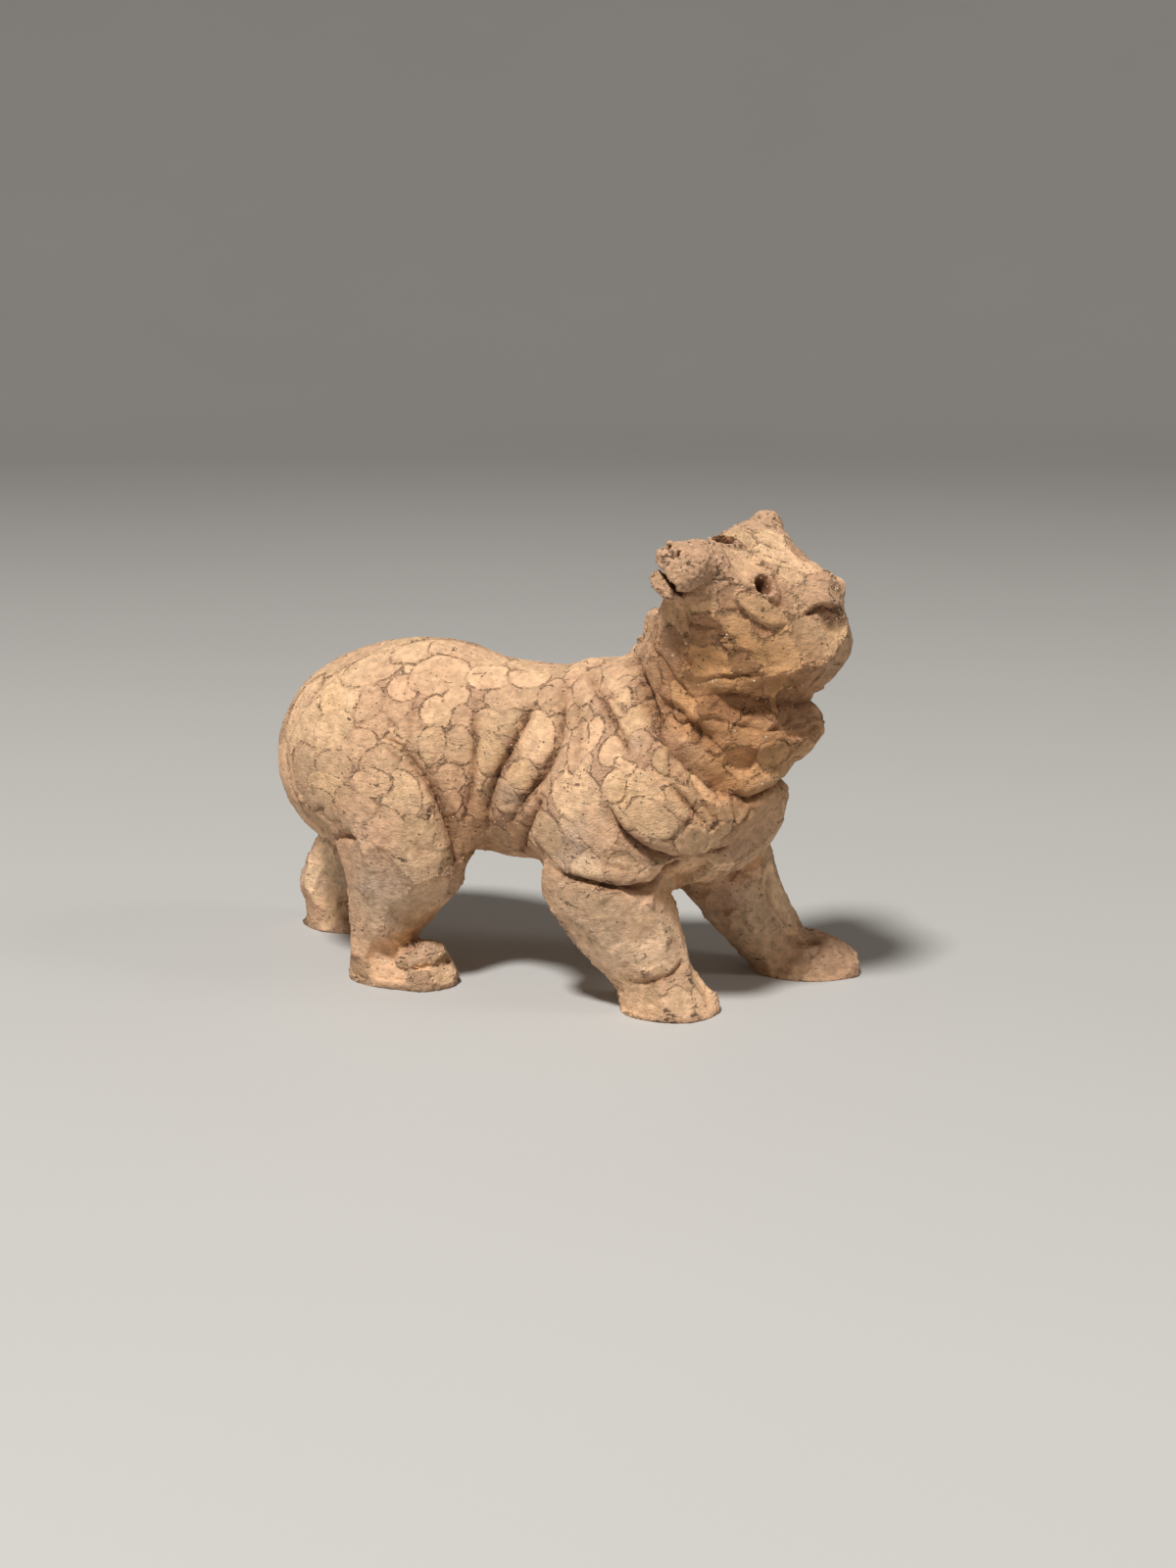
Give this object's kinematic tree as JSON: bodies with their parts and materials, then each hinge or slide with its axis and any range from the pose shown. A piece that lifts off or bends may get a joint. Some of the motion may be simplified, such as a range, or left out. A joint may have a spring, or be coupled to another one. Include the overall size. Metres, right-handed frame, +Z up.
{
  "type": "terracotta bear figurine",
  "caption": "Small solid terracotta bear, walking and looking up and back over its shoulder, with a knife-pared surface and deep folds; stands on its paws.",
  "frame": {"origin": "under the middle of the figure's bounding box, at the level of the paws' flat soles", "axes": "+X the way the bear walks, along its body; +Y to the bear's left; +Z up"},
  "size_m": [0.1778, 0.0786, 0.1338],
  "materials": {
    "terracotta": "matte, unglazed"
  },
  "bodies": {
    "root": {"bear": "terracotta"}
  },
  "joints": []
}
